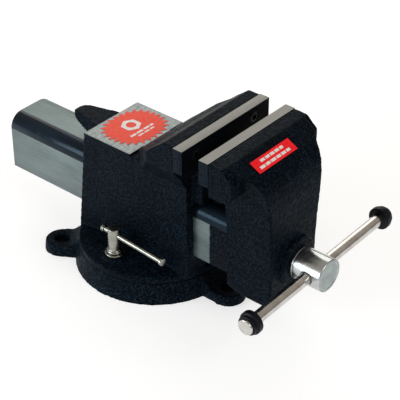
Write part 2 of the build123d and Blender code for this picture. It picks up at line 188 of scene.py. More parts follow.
def paint_layers(shade, fleck=PAINT_LIGHT):
    """Crinkled black enamel: bluish mottle, paler worn edges that also carry a painted edge highlight, fine bump.
    Gives colour and normal.
    """
    mottle = shade.spread(shade.noise(2.4 * MM, 4.0, 0.8), 0.44, 0.70)
    base = shade.mix(mottle, PAINT_DARK, fleck)
    patches = shade.spread(shade.noise(38 * MM, 2.0), 0.35, 0.7, 0.0, 0.35)
    base = shade.mix(patches, base, PAINT_DARK)
    # Paler chips along the rounded edges: partly paint wear, partly painted edge highlight.
    broken = shade.spread(shade.noise(5 * MM, 4.0), 0.56, 0.72)
    worn_and_highlit_edges = shade.math("MULTIPLY", shade.attribute("edge_wear_and_highlight"), broken)
    base = shade.mix(worn_and_highlit_edges, base, EDGE_WEAR_AND_HIGHLIGHT)
    crinkle = shade.bump(shade.noise(1.7 * MM, 3.0, 0.65), 0.5 * MM, 0.8)
    return base, shade.bump(shade.noise(6 * MM, 2.0), 0.7 * MM, 0.6, crinkle)


def cast_paint(name, fleck):
    """Crinkled enamel for a casting that is painted all over."""
    shade = Shade(name, 0.0, PAINT_ROUGH, PAINT_GLOSS)
    shade.set("Specular Tint", PAINT_SHEEN)
    base, normal = paint_layers(shade, fleck)
    shade.feed("Base Color", base)
    shade.feed("Roughness", shade.spread(shade.noise(4 * MM), 0.3, 0.7, 0.36, 0.58))
    shade.feed("Normal", normal)
    return shade.material


STEEL_DARK = colour(0.235, 0.25, 0.235)
STEEL_LIGHT = colour(0.365, 0.385, 0.365)
STREAK_WIDTH = 0.35 * MM
STREAK_LENGTH = 28 * MM


def steel_streaks(shade, along):
    """Grinding lines that run along one axis: 0 is X, 1 is Y."""
    scales = [1 / STREAK_WIDTH] * 3
    scales[along] = 1 / STREAK_LENGTH
    return shade.noise(1.0, 3.0, 0.6, shade.stretched(*scales))


ANVIL_FRONT_X = 5 * MM


def body_paint():
    """The fixed casting: crinkle paint, with the anvil's top face ground bright."""
    shade = Shade("crinkle_black_paint_ground_anvil", 0.0, PAINT_ROUGH, PAINT_GLOSS)
    shade.set("Specular Tint", PAINT_SHEEN)
    base, normal = paint_layers(shade)
    height = shade.part(2)
    high_enough = shade.spread(height, ANVIL_TOP - 0.35 * MM, ANVIL_TOP - 0.15 * MM)
    low_enough = shade.spread(height, ANVIL_TOP + 0.4 * MM, ANVIL_TOP + 0.8 * MM, 1.0, 0.0)
    flat = shade.math("MULTIPLY", high_enough, low_enough)
    behind = shade.spread(shade.part(0), ANVIL_FRONT_X - 0.8 * MM, ANVIL_FRONT_X, 1.0, 0.0)
    ground = shade.math("MULTIPLY", flat, behind)
    streaks = steel_streaks(shade, 1)
    steel = shade.mix(shade.spread(streaks, 0.35, 0.65), STEEL_DARK, STEEL_LIGHT)
    shade.feed("Base Color", shade.mix(ground, base, steel))
    shade.feed("Metallic", ground)
    shade.feed("Roughness", shade.spread(shade.noise(4 * MM), 0.3, 0.7, 0.38, 0.56))
    shade.feed("Normal", shade.bump(streaks, 0.03 * MM, 0.4, normal))
    return shade.material


def ground_steel(name, along, dark, light, rough):
    """Flat steel with grinding lines along one axis."""
    shade = Shade(name, 0.75, 0.4)
    streaks = steel_streaks(shade, along)
    blotch = shade.noise(22 * MM, 4.0, 0.6)
    share = shade.math("MULTIPLY", shade.math("ADD", streaks, blotch), 0.5)
    shade.feed("Base Color", shade.mix(shade.spread(share, 0.36, 0.64), dark, light))
    shade.feed("Roughness", shade.spread(blotch, 0.3, 0.7, *rough))
    shade.feed("Normal", shade.bump(streaks, 0.03 * MM, 0.5))
    return shade.material


SLIDE_PAINT_X = 112 * MM
SLIDE_PAINT_FADE = 2.5 * MM
SLIDE_PAINT_RAGGED = 5 * MM
SLIDE_DARK = colour(0.100, 0.140, 0.140)
SLIDE_LIGHT = colour(0.215, 0.265, 0.262)


def slide_steel():
    """Ground flats of the slide, painted over near the front jaw."""
    shade = Shade("ground_slide", 1.0, 0.42, PAINT_GLOSS)
    streaks = steel_streaks(shade, 0)
    blotch = shade.noise(30 * MM, 4.0, 0.65, shade.stretched(0.35, 1.0, 1.0))
    share = shade.math("MULTIPLY", shade.math("ADD", streaks, blotch), 0.5)
    steel = shade.mix(shade.spread(share, 0.34, 0.64), SLIDE_DARK, SLIDE_LIGHT)
    ragged = shade.math("MULTIPLY", shade.noise(9 * MM), SLIDE_PAINT_RAGGED)
    edge = shade.math("ADD", shade.part(0), ragged)
    painted = shade.spread(edge, SLIDE_PAINT_X, SLIDE_PAINT_X + SLIDE_PAINT_FADE)
    base, _ = paint_layers(shade)
    shade.feed("Base Color", shade.mix(painted, steel, base))
    shade.feed("Metallic", shade.math("SUBTRACT", 1.0, painted))
    shade.feed("Roughness", shade.spread(blotch, 0.3, 0.7, 0.36, 0.5))
    shade.feed("Normal", shade.bump(streaks, 0.04 * MM, 0.5))
    return shade.material


def corner_paint():
    """Smooth black enamel for the slide's near rounded corner; the far corner is given bright steel instead, a
    painted reflection.
    """
    shade = Shade("smooth_black_enamel", 0.0, 0.18, 0.16)
    shade.set("Specular Tint", PAINT_SHEEN)
    cloud = shade.noise(30 * MM, 3.0, 0.6, shade.stretched(0.2, 1.0, 1.0))
    dark = colour(0.002, 0.0035, 0.006)
    light = colour(0.010, 0.018, 0.028)
    shade.feed("Base Color", shade.mix(shade.spread(cloud, 0.35, 0.65), dark, light))
    shade.feed("Roughness", shade.spread(shade.noise(7 * MM), 0.3, 0.7, 0.12, 0.22))
    shade.feed("Normal", shade.bump(shade.noise(4 * MM, 2.0), 0.12 * MM, 0.4))
    return shade.material


def turned_metal(name, dark, light, rough, line_axis, line=0.25 * MM):
    """Lathe-turned or plated metal with fine lines across line_axis."""
    shade = Shade(name, 1.0, 0.2)
    scales = [1 / (40 * MM)] * 3
    scales[line_axis] = 1 / line
    lines = shade.noise(1.0, 2.0, 0.5, shade.stretched(*scales))
    haze = shade.noise(12 * MM, 3.0, 0.6)
    shade.feed("Base Color", shade.mix(shade.spread(haze, 0.3, 0.7), dark, light))
    shade.feed("Roughness", shade.spread(haze, 0.3, 0.7, *rough))
    shade.feed("Normal", shade.bump(lines, 0.004 * MM, 0.3))
    return shade.material


def speckled(name, dark, light, metallic, rough, size=1.5 * MM, depth=0.1 * MM, specular=0.5):
    """Plain plated, oxidised, moulded or printed surface with a fine grain."""
    shade = Shade(name, metallic, 0.5, specular)
    grain = shade.noise(size, 3.0, 0.6)
    shade.feed("Base Color", shade.mix(shade.spread(grain, 0.32, 0.68), dark, light))
    shade.feed("Roughness", shade.spread(shade.noise(8 * MM), 0.3, 0.7, *rough))
    shade.feed("Normal", shade.bump(grain, depth, 0.4))
    return shade.material


PAINT = cast_paint("crinkle_black_paint", PAINT_LIGHT)
BASE_PAINT = cast_paint("crinkle_black_paint_base", BASE_FLECK)
BODY_PAINT = body_paint()
SLIDE_STEEL = slide_steel()
CORNER = corner_paint()
PLATE_STEEL = ground_steel(
    "ground_plate_top", 1, colour(0.225, 0.225, 0.21), colour(0.30, 0.30, 0.28), (0.5, 0.6))
CHROME = turned_metal(
    "satin_chrome", colour(0.50, 0.485, 0.46), colour(0.62, 0.605, 0.585), (0.16, 0.24), 1)
TURNED = turned_metal(
    "turned_steel", colour(0.46, 0.48, 0.475), colour(0.58, 0.60, 0.595), (0.2, 0.28), 0)
FACED = turned_metal(
    "faced_steel", colour(0.25, 0.29, 0.29), colour(0.37, 0.42, 0.42), (0.3, 0.4), 2, 0.6 * MM)
THREAD = turned_metal(
    "oiled_screw_steel", colour(0.28, 0.27, 0.25), colour(0.42, 0.41, 0.39), (0.3, 0.42), 0)
ZINC = turned_metal(
    "bright_zinc", colour(0.22, 0.22, 0.19), colour(0.36, 0.36, 0.32), (0.2, 0.3), 2)
PLATE_BLACK = speckled(
    "blackened_plate", colour(0.0010, 0.0016, 0.0026), colour(0.010, 0.018, 0.028), 0.0, (0.4, 0.6),
    size=2.2 * MM, depth=0.25 * MM, specular=PAINT_GLOSS)
# Blacker than the plate's sides: painted shade for the gripping faces and screw holes in the gap between the jaws.
PLATE_TEETH_IN_SHADE = speckled(
    "blackened_teeth_painted_shade", colour(0.0006, 0.0008, 0.0012), colour(0.003, 0.004, 0.006), 0.0, (0.5, 0.6),
    size=2.2 * MM, specular=0.05)
OXIDE = speckled(
    "black_oxide", colour(0.0012, 0.0015, 0.002), colour(0.004, 0.005, 0.007), 0.0, (0.4, 0.55),
    specular=0.08)
SPRING = speckled(
    "spring_steel", colour(0.16, 0.16, 0.18), colour(0.3, 0.3, 0.32), 1.0, (0.3, 0.4))
BRONZE = speckled(
    "machined_bronze", colour(0.38, 0.24, 0.09), colour(0.5, 0.34, 0.14), 1.0, (0.3, 0.42))
RUBBER = speckled(
    "moulded_rubber", colour(0.0004, 0.0010, 0.0028), colour(0.0025, 0.0050, 0.0110), 0.0, (0.3, 0.42),
    size=1.2 * MM, depth=0.06 * MM, specular=0.15)
BADGE_RED = speckled(
    "coral_print_film", colour(0.88, 0.085, 0.050), colour(0.96, 0.115, 0.075), 0.0, (0.5, 0.6),
    size=3 * MM, depth=0.02 * MM, specular=0.15)
LABEL_RED = speckled(
    "red_print_film", colour(0.92, 0.010, 0.017), colour(0.98, 0.020, 0.028), 0.0, (0.5, 0.6),
    size=3 * MM, depth=0.02 * MM, specular=0.12)
WHITE_INK = speckled(
    "white_ink", colour(0.76, 0.75, 0.73), colour(0.9, 0.89, 0.87), 0.0, (0.45, 0.55),
    depth=0.01 * MM, specular=0.3)


# ---- mesh helpers ----
def add_piece(name, mesh, body, slot_name, *materials):
    """Object for a mesh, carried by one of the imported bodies."""
    piece = bpy.data.objects.new(name, mesh)
    bpy.context.scene.collection.objects.link(piece)
    for material in materials:
        mesh.materials.append(material)
    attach(piece, body)
    return piece


def from_points(name, vertices, faces):
    """Mesh from its corner points and the faces between them."""
    mesh = bpy.data.meshes.new(name)
    mesh.from_pydata([tuple(v) for v in vertices], [], faces)
    mesh.validate()
    return mesh


def smooth_by_angle(mesh, degrees=30.0):
    mesh.shade_smooth()
    mesh.set_sharp_from_angle(angle=math.radians(degrees))


def settle(piece):
    """Bake a piece's modifiers into its mesh."""
    graph = bpy.context.evaluated_depsgraph_get()
    shaped = piece.evaluated_get(graph)
    made = bpy.data.meshes.new_from_object(shaped, preserve_all_data_layers=True, depsgraph=graph)
    piece.modifiers.clear()
    piece.data = made


def weld(piece):
    """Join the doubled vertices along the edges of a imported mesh."""
    modifier = piece.modifiers.new("weld", "WELD")
    modifier.merge_threshold = WELD


def face_outwards(mesh):
    """Turn every face of a closed mesh outwards."""
    made = bmesh.new()
    made.from_mesh(mesh)
    bmesh.ops.recalc_face_normals(made, faces=made.faces)
    made.to_mesh(mesh)
    made.free()


def bevel(piece, width, degrees):
    """Round the edges that turn by more than the given angle."""
    modifier = piece.modifiers.new("edges", "BEVEL")
    modifier.width = width
    modifier.segments = 2
    modifier.limit_method = "ANGLE"
    modifier.angle_limit = math.radians(degrees)


def cut(piece, cutter_mesh):
    """Boolean one mesh out of a piece."""
    cutter = bpy.data.objects.new("cutter", cutter_mesh)
    bpy.context.scene.collection.objects.link(cutter)
    modifier = piece.modifiers.new("cut", "BOOLEAN")
    modifier.object = cutter
    modifier.solver = "EXACT"
    settle(piece)
    bpy.data.objects.remove(cutter)


def lathe(name, profile, turns):
    """Solid of revolution about Z from (radius, height) points; radius 0 closes an end."""
    vertices = []
    rings = []
    for radius, height in profile:
        if radius == 0:
            rings.append([len(vertices)])
            vertices.append((0.0, 0.0, height))
            continue
        rings.append(list(range(len(vertices), len(vertices) + turns)))
        for k in range(turns):
            angle = 2 * math.pi * k / turns
            vertices.append((radius * math.cos(angle), radius * math.sin(angle), height))
    faces = []
    for lower, upper in zip(rings, rings[1:] + rings[:1]):
        if len(lower) == 1 and len(upper) == 1:
            continue
        for k in range(turns):
            after = (k + 1) % turns
            if len(lower) == 1:
                faces.append((lower[0], upper[after], upper[k]))
            elif len(upper) == 1:
                faces.append((lower[k], lower[after], upper[0]))
            else:
                faces.append((lower[k], lower[after], upper[after], upper[k]))
    return from_points(name, vertices, faces)


ROUND_STEPS = 5


def round_corner(corner, start, end, radius):
    """Points that round off one corner of a (radius, height) profile."""
    corner = np.array(corner, float)
    one = np.array(start, float) - corner
    two = np.array(end, float) - corner
    one /= np.linalg.norm(one)
    two /= np.linalg.norm(two)
    a = corner + one * radius
    b = corner + two * radius
    points = []
    for k in range(ROUND_STEPS + 1):
        t = k / ROUND_STEPS
        points.append(tuple((1 - t) ** 2 * a + 2 * t * (1 - t) * corner + t * t * b))
    return points


def rounded(profile, radii):
    """The profile with each corner rounded by its own radius; 0 leaves a corner sharp."""
    points = []
    for k, (corner, radius) in enumerate(zip(profile, radii)):
        if radius == 0:
            points.append(corner)
        else:
            points += round_corner(corner, profile[k - 1], profile[(k + 1) % len(profile)], radius)
    return points


def z_to(direction, centre):
    """Matrix that carries the Z axis onto a direction through a centre."""
    turn = Vector(direction).normalized().to_track_quat("Z", "Y").to_matrix().to_4x4()
    return Matrix.Translation(centre) @ turn


def prism(name, outline, bottom, top, holes=()):
    """Flat plate from an outline in X and Y, with any holes given the same way."""
    made = bmesh.new()
    loops = [outline, *holes]
    edges = []
    for loop in loops:
        corners = [made.verts.new((x, y, bottom)) for x, y in loop]
        for a, b in zip(corners, corners[1:] + corners[:1]):
            edges.append(made.edges.new((a, b)))
    filled = bmesh.ops.triangle_fill(made, edges=edges, use_beauty=True, use_dissolve=False)
    faces = [f for f in filled["geom"] if isinstance(f, bmesh.types.BMFace)]
    raised = bmesh.ops.extrude_face_region(made, geom=faces)
    lifted = [v for v in raised["geom"] if isinstance(v, bmesh.types.BMVert)]
    bmesh.ops.translate(made, vec=(0, 0, top - bottom), verts=lifted)
    bmesh.ops.recalc_face_normals(made, faces=made.faces)
    mesh = bpy.data.meshes.new(name)
    made.to_mesh(mesh)
    made.free()
    return mesh


# ---- castings ----
CAST_VOXEL = 1.15 * MM
SMOOTHING_ROUNDS = 3
# Edges rounded by more than this get paler chips: paint wear and a painted edge highlight.
WEAR_AND_HIGHLIGHT_FROM = 0.25 * MM
WEAR_AND_HIGHLIGHT_RANGE = 0.6 * MM
SKIN_LUMP = 7 * MM
SKIN_DEPTH = 0.5 * MM
ANVIL_RIM = 3.2 * MM


def read_vectors(items, what):
    """One property of every vertex, as the rows of an array."""
    flat = np.empty(len(items) * 3, np.float32)
    items.foreach_get(what, flat)
    return flat.reshape(-1, 3).astype(float)


def smoothed(mesh, before, softness):
    """Each point drawn towards the mean of its neighbours, a few times over."""
    edges = np.empty(len(mesh.edges) * 2, np.int32)
    mesh.edges.foreach_get("vertices", edges)
    one, two = edges.reshape(-1, 2).T
    neighbours = np.bincount(edges, minlength=len(before))[:, None]
    after = before.copy()
    for _ in range(SMOOTHING_ROUNDS):
        total = np.zeros_like(after)
        np.add.at(total, one, after[two])
        np.add.at(total, two, after[one])
        after += 0.5 * softness * (total / neighbours - after)
    return after


def uneven_skin(piece, softness):
    """Sink the surface by a fraction of a millimetre here and there, as sand moulding does."""
    lumps = bpy.data.textures.new(piece.name + "_skin", "CLOUDS")
    lumps.noise_scale = SKIN_LUMP
    lumps.noise_depth = 1
    ripple = piece.modifiers.new("skin", "DISPLACE")
    ripple.texture = lumps
    ripple.texture_coords = "LOCAL"
    ripple.strength = SKIN_DEPTH
    ripple.mid_level = 1.0
    group = piece.vertex_groups.new(name="cast")
    for index, share in enumerate(softness[:, 0]):
        if share > 0.5:
            group.add([index], float(share), "REPLACE")
    ripple.vertex_group = group.name
    settle(piece)


def casting(name, node, body, material, softness_at):
    """A packed casting with its edges rounded as in a sand mould, worn paler there with a painted edge highlight,
    and an uneven skin.
    """
    piece = add_piece(name, frame["nodes"][node].data.copy(), body, "black_paint")
    piece.data.materials.clear()
    weld(piece)
    remesh = piece.modifiers.new("remesh", "REMESH")
    remesh.mode = "VOXEL"
    remesh.voxel_size = CAST_VOXEL
    settle(piece)
    mesh = piece.data
    before = read_vectors(mesh.vertices, "co")
    softness = np.array([softness_at(point) for point in before])[:, None]
    after = smoothed(mesh, before, softness)
    mesh.vertices.foreach_set("co", after.astype(np.float32).ravel())
    mesh.update()
    # How far the rounding pulled each point in marks the edges for the paler chips: paint wear and a painted edge
    # highlight.
    pulled_in = np.einsum("ij,ij->i", before - after, read_vectors(mesh.vertices, "normal"))
    edge_wear_and_highlight = np.clip((pulled_in - WEAR_AND_HIGHLIGHT_FROM) / WEAR_AND_HIGHLIGHT_RANGE, 0, 1)
    layer = mesh.attributes.new("edge_wear_and_highlight", "FLOAT", "POINT")
    layer.data.foreach_set("value", edge_wear_and_highlight.astype(np.float32))
    mesh.materials.clear()
    mesh.materials.append(material)
    mesh.shade_smooth()
    uneven_skin(piece, softness)
    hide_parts(node)


def soft_all_over(point):
    """Full rounding everywhere."""
    return 1.0


def crisp_at_the_anvil(point):
    """Full rounding except on the ground anvil face, which keeps crisper edges."""
    near_the_top = abs(point[2] - ANVIL_TOP) < ANVIL_RIM
    return 0.25 if near_the_top and point[0] < ANVIL_FRONT_X + 1 * MM else 1.0


casting("swivel_base_cast", "swivel_base", "base", BASE_PAINT, soft_all_over)
casting("fixed_body_cast", "fixed_body", "fixed_body", BODY_PAINT, crisp_at_the_anvil)
casting("moving_jaw_cast", "moving_jaw", "moving_jaw", PAINT, soft_all_over)


# ---- jaw plates ----
TOOTH = 1.5 * MM
TOOTH_DEPTH = 0.6 * MM
PLATE_HOLE_R = 4.5 * MM
PLATE_HEAD_R = 7.0 * MM
PLATE_HEAD_DEPTH = 9.0 * MM
PLATE_SCREW_Y = 50 * MM
PLATE_RIM = 0.5 * MM


def toothed_block(name, low, high, face_x, back_x):
    """Plate whose gripping face is a grid of diamond teeth with a plain border."""
    columns = round((high.y - low.y) / TOOTH)
    rows = round((high.z - low.z) / TOOTH)
    inward = math.copysign(TOOTH_DEPTH, back_x - face_x)
    vertices = []
    for j in range(rows + 1):
        for i in range(columns + 1):
            border = i in (0, columns) or j in (0, rows)
            sunk = 0.0 if border or (i + j) % 2 else inward
            y = low.y + (high.y - low.y) * i / columns
            z = low.z + (high.z - low.z) * j / rows
            vertices.append((face_x + sunk, y, z))
    stride = columns + 1
    faces = []
    for j in range(rows):
        for i in range(columns):
            a = j * stride + i
            faces.append((a, a + 1, a + stride + 1, a + stride))
    rim = list(range(stride))
    rim += [j * stride + columns for j in range(1, rows + 1)]
    rim += [rows * stride + i for i in range(columns - 1, -1, -1)]
    rim += [j * stride for j in range(rows - 1, 0, -1)]
    back = {}
    for index in rim:
        back[index] = len(vertices)
        vertices.append((back_x, vertices[index][1], vertices[index][2]))
    for a, b in zip(rim, rim[1:] + rim[:1]):
        faces.append((b, a, back[a], back[b]))
    faces.append([back[index] for index in reversed(rim)])
    return from_points(name, vertices, faces)


def drill_plate(piece, face_x, inward):
    """Cut the counterbored holes for the two screws, from the gripping face."""
    mouth = -1 * MM
    end = 14 * MM
    profile = [(0, mouth), (PLATE_HEAD_R, mouth), (PLATE_HEAD_R, PLATE_HEAD_DEPTH),
               (PLATE_HOLE_R, PLATE_HEAD_DEPTH), (PLATE_HOLE_R, end), (0, end)]
    screws_low, screws_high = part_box("fixed_plate_screws")
    middle = (screws_low + screws_high) / 2
    for side in (-1, 1):
        tool = lathe("plate_hole", profile, 40)
        centre = Vector((face_x, middle.y + side * PLATE_SCREW_Y, middle.z))
        tool.transform(z_to((inward, 0, 0), centre))
        cut(piece, tool)


def finish_plate(mesh, low, high, face_x):
    """Black sides, a ground top, and teeth and screw holes painted darker, as painted shade in the gap between the
    jaws.
    """
    mesh.materials.clear()
    for material in (PLATE_BLACK, PLATE_STEEL, PLATE_TEETH_IN_SHADE):
        mesh.materials.append(material)
    for face in mesh.polygons:
        y, z = abs(face.center.y), face.center.z
        inside = y < high.y - PLATE_RIM and low.z + PLATE_RIM < z < high.z - PLATE_RIM
        if face.normal.z > 0.6 and z > high.z - 1 * MM:
            face.material_index = 1
        # Gripping face and counterbores take the darker black of the painted shade.
        elif abs(face_x - face.center.x) < PLATE_HEAD_DEPTH and inside:
            face.material_index = 2


def jaw_plate(name, node, body, face_sign):
    """Plate with a diamond-toothed gripping face, counterbored holes and a ground top."""
    low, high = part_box(node)
    face_x, back_x = (high.x, low.x) if face_sign > 0 else (low.x, high.x)
    piece = add_piece(name, toothed_block(name, low, high, face_x, back_x), body, "ground_steel")
    face_outwards(piece.data)
    drill_plate(piece, face_x, -face_sign)
    bevel(piece, 0.35 * MM, 50)
    settle(piece)
    finish_plate(piece.data, low, high, face_x)
    smooth_by_angle(piece.data)
    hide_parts(node)


jaw_plate("fixed_plate_toothed", "fixed_jaw_plate", "fixed_body", 1)
jaw_plate("moving_plate_toothed", "moving_jaw_plate", "moving_jaw", -1)


# ---- slide ----
SLIDE_CORNER_R = 18 * MM
SLIDE_WALL = 8 * MM
OUTER_STEPS = 16
INNER_STEPS = 8


def quarter(centre_y, centre_z, radius, start, turn, steps):
    """Points of a quarter circle in Y and Z that starts at an angle and turns by +90 or -90 degrees."""
    angles = [math.radians(start + turn * step / steps) for step in range(steps + 1)]
    return [(centre_y + radius * math.cos(a), centre_z + radius * math.sin(a)) for a in angles]


def slide_section():
    """Closed outline of the inverted U in Y and Z, and the edges of the near corner, which get enamel; the far
    corner is left bright steel as a painted reflection.
    """
    half = (SLIDE_HIGH.y - SLIDE_LOW.y) / 2
    centre_z = SLIDE_HIGH.z - SLIDE_CORNER_R
    points = [(-half, SLIDE_LOW.z)]
    # Only the near corner is enamelled; leaving the far one as steel is a painted reflection.
    enamelled = range(len(points), len(points) + OUTER_STEPS)
    points += quarter(-half + SLIDE_CORNER_R, centre_z, SLIDE_CORNER_R, 180, -90, OUTER_STEPS)
    points += quarter(half - SLIDE_CORNER_R, centre_z, SLIDE_CORNER_R, 90, -90, OUTER_STEPS)
    points.append((half, SLIDE_LOW.z))
    inner_half = half - SLIDE_WALL
    inner_r = SLIDE_CORNER_R - SLIDE_WALL
    points.append((inner_half, SLIDE_LOW.z))
    points += quarter(inner_half - inner_r, centre_z, inner_r, 0, 90, INNER_STEPS)
    points += quarter(inner_r - inner_half, centre_z, inner_r, 90, 90, INNER_STEPS)
    points.append((-inner_half, SLIDE_LOW.z))
    return points, enamelled


def make_slide():
    """The inverted U, drawn out along X."""
    points, enamelled = slide_section()
    vertices = [(x, y, z) for x in (SLIDE_LOW.x, SLIDE_HIGH.x) for y, z in points]
    count = len(points)
    faces = [(k, (k + 1) % count, (k + 1) % count + count, k + count) for k in range(count)]
    faces.append(list(reversed(range(count))))
    faces.append(list(range(count, 2 * count)))
    mesh = from_points("slide_bar", vertices, faces)
    piece = add_piece("slide_bar", mesh, "moving_jaw", "ground_steel", SLIDE_STEEL, CORNER)
    for k, face in enumerate(mesh.polygons):
        face.material_index = 1 if k in enamelled else 0
    face_outwards(mesh)
    bevel(piece, 0.5 * MM, 50)
    settle(piece)
    smooth_by_angle(piece.data)
    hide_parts("slide_channel")


make_slide()


# ---- spindle ----
PITCH = 6 * MM
CREST_R = 13.5 * MM
ROOT_R = 10.8 * MM
FLANK_SLOPE = 3.2
ROOT_WIDTH = 0.35
THREAD_TURNS = 40
STEPS_PER_PITCH = 8
THREAD_FADE = 8 * MM
SHANK_R = 14 * MM
SHANK_START = 150 * MM
BAR_HOLE_R = BAR_R + 0.35 * MM
FLARE = 1 * MM


def thread_radius(x, share_of_turn):
    """Right-hand trapezoidal thread, faded out at both ends."""
    inside = min(x - SPINDLE_LOW.x, SHANK_START - x)
    fade = min(1.0, max(0.0, inside / THREAD_FADE))
    phase = (x / PITCH - share_of_turn) % 1.0
    tooth = np.clip(FLANK_SLOPE * (0.5 - abs(phase - 0.5)) - ROOT_WIDTH, 0, 1)
    return ROOT_R + (CREST_R - ROOT_R) * tooth * fade


def make_thread():
    """The screw inside the slide, as a surface."""
    turns = THREAD_TURNS
    step = PITCH / STEPS_PER_PITCH
    x_values = np.arange(SPINDLE_LOW.x, SHANK_START + step / 2, step)
    vertices = []
    for x in x_values:
        for k in range(turns):
            angle = 2 * math.pi * k / turns
            radius = thread_radius(x, k / turns)
            vertices.append((x, radius * math.cos(angle), SCREW_Z + radius * math.sin(angle)))
    faces = []
    last = len(x_values) - 1
    for r in range(last):
        for k in range(turns):
            a = r * turns + k
            b = r * turns + (k + 1) % turns
            faces.append((a, a + turns, b + turns, b))
    faces.append(list(range(turns)))
    faces.append(list(reversed(range(last * turns, (last + 1) * turns))))
    mesh = from_points("lead_screw_thread", vertices, faces)
    mesh.shade_smooth()
    add_piece("lead_screw_thread", mesh, "spindle", "turned_steel", THREAD)


def bar_hole():
    """Cutter for the cross hole, flared at both mouths."""
    mouth = HEAD_R + 0.5 * MM
    far = mouth + 8 * MM
    flared = BAR_HOLE_R + FLARE
    profile = [(0, -far), (flared, -far), (flared, -mouth + 1.8 * MM), (BAR_HOLE_R, -mouth + 2.8 * MM),
               (BAR_HOLE_R, mouth - 2.8 * MM), (flared, mouth - 1.8 * MM), (flared, far), (0, far)]
    tool = lathe("bar_hole", profile, 48)
    tool.transform(z_to(BAR_AXIS, Vector((BAR_X, 0, SCREW_Z))))
    return tool


def make_spindle_head():
    """Shank and plain cylindrical head, cross-drilled for the bar."""
    front = SPINDLE_HIGH.x
    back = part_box("thrust_washer")[1].x
    shank = SHANK_START - 1 * MM
    dish = front - 0.5 * MM
    profile = [(0, shank), (SHANK_R, shank), (SHANK_R, back), (HEAD_R, back), (HEAD_R, front),
               (HEAD_R - 3.2 * MM, front), (HEAD_R - 3.8 * MM, dish), (0, dish)]
    radii = [0, 0.8 * MM, 0, 1.0 * MM, 1.6 * MM, 0.4 * MM, 0.4 * MM, 0]
    mesh = lathe("spindle_head", rounded(profile, radii), 96)
    mesh.transform(z_to((1, 0, 0), Vector((0, 0, SCREW_Z))))
    piece = add_piece("spindle_head", mesh, "spindle", "turned_steel", TURNED)
    cut(piece, bar_hole())
    piece.data.materials.append(FACED)
    for face in piece.data.polygons:
        if face.normal.x > 0.9 and face.center.x > front - 1 * MM:
            face.material_index = 1
    smooth_by_angle(piece.data)
    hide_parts("spindle_screw")


make_thread()
make_spindle_head()


# ---- tommy bar and its rubber rings ----
RINGS_LOW, RINGS_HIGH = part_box("bar_rings")
RING_R = (RINGS_HIGH.x - RINGS_LOW.x) / 2
RING_LENGTH = 12 * MM
RING_BAND = 7.2 * MM


def make_bar():
    """Plain rod with a wider domed cap on each end."""
    end = BAR_HALF
    neck = end - CAP_LENGTH
    profile = [(0, -end), (CAP_R, -end), (CAP_R, -neck), (BAR_R, -neck), (BAR_R, neck),
               (CAP_R, neck), (CAP_R, end), (0, end)]
    radii = [0, CAP_ROUND, 0.4 * MM, 0, 0, 0.4 * MM, CAP_ROUND, 0]
    mesh = lathe("tommy_bar_rod", rounded(profile, radii), 56)
    mesh.transform(z_to(BAR_AXIS, BAR_MIDDLE))
    piece = add_piece("tommy_bar_rod", mesh, "tommy_bar", "satin_chrome", CHROME)
    smooth_by_angle(piece.data)
    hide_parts("tommy_bar")


def make_rings():
    """Two-step rubber bumpers: a wide inner band, a groove, a narrower outer lip."""
    outer = BAR_HALF - CAP_LENGTH
    inner = outer - RING_LENGTH
    step = inner + RING_BAND
    profile = [(BAR_R, inner), (RING_R, inner), (RING_R, step), (RING_R - 2.6 * MM, step + 0.9 * MM),
               (RING_R - 1.9 * MM, outer), (BAR_R, outer)]
    radii = [0.2 * MM, 1.6 * MM, 1.3 * MM, 0.6 * MM, 1.4 * MM, 0.6 * MM]
    for end, sign in (("near", -1), ("far", 1)):
        mesh = lathe("bar_ring_" + end, rounded(profile, radii), 64)
        mesh.transform(z_to(BAR_AXIS * sign, BAR_MIDDLE))
        piece = add_piece("bar_ring_" + end, mesh, "tommy_bar", "black_rubber", RUBBER)
        smooth_by_angle(piece.data, 40)
        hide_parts("bar_rings")


make_bar()
make_rings()


# ---- swivel locks ----
LOCK_BAR_R = 3.2 * MM
LOCK_HEAD_R = 4.6 * MM
LOCK_HEAD = 4 * MM
NUT_FLANGE = 4 * MM
NUT_STEP = 2 * MM
WASHER_BORE_R = 6.6 * MM


def make_lock_nut(side, axis, through):
    """Tall round nut with a flange, cross-drilled for its sliding bar."""
    low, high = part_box(side + "_lock_nut")
    flange_r = (high.x - low.x) / 2
    nut_r = flange_r - NUT_STEP
    profile = [(0, low.z), (flange_r, low.z), (flange_r, low.z + 2.4 * MM), (nut_r, low.z + NUT_FLANGE),
               (nut_r, high.z), (0, high.z)]
    radii = [0, 0.5 * MM, 1.0 * MM, 0.8 * MM, 1.2 * MM, 0]
    mesh = lathe(side + "_lock_nut_round", rounded(profile, radii), 56)
    mesh.transform(Matrix.Translation((through.x, through.y, 0)))
    nut = add_piece(side + "_lock_nut_round", mesh, side + "_lock_nut", "zinc", ZINC)
    hole_r = LOCK_BAR_R + 0.2 * MM
    reach = 20 * MM
    tool = lathe("lock_hole", [(0, -reach), (hole_r, -reach), (hole_r, reach), (0, reach)], 32)
    tool.transform(z_to(axis, through))
    cut(nut, tool)
    smooth_by_angle(nut.data)
    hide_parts(side + "_lock_nut")


